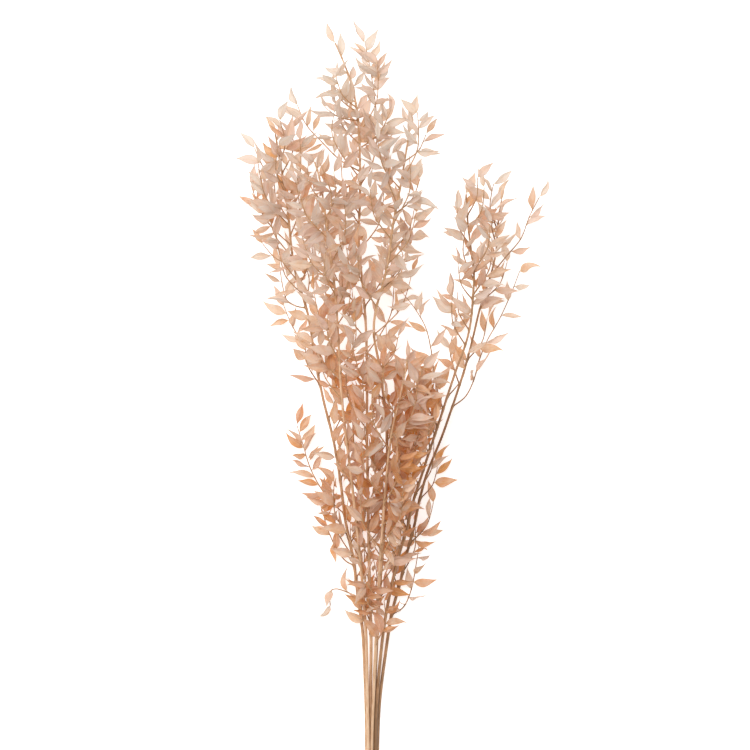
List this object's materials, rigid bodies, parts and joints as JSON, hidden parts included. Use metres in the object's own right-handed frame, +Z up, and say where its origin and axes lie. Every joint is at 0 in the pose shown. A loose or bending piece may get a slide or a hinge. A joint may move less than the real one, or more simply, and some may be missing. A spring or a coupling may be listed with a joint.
{
  "type": "bundle of dried ruscus",
  "caption": "Loose bundle of bleached, dried ruscus: long bare stem ends that lie together, and leafy tops that fan out into two lobes. It lies flat as a display or a prop.",
  "frame": {"origin": "under the middle of the bundle, on the surface that it lies on", "axes": "+Y from the cut ends to the leafy tips, +Z up from the surface, +X across the bundle"},
  "size_m": [0.3181, 0.765, 0.1199],
  "materials": {
    "dried_leaf": "matt, papery, slightly translucent bleached leaf with fine lengthwise veins",
    "dried_stem": "satin, straw-coloured dry stem with faint lengthwise grooves and darker joints"
  },
  "bodies": {
    "root": {"left_leafy_stem": "dried_leaf", "left_middle_leafy_stem": "dried_leaf", "tall_leafy_stem": "dried_leaf", "front_leafy_stem": "dried_leaf", "right_middle_leafy_stem": "dried_leaf", "right_inner_leafy_stem": "dried_leaf", "right_outer_leafy_stem": "dried_leaf"}
  },
  "joints": []
}
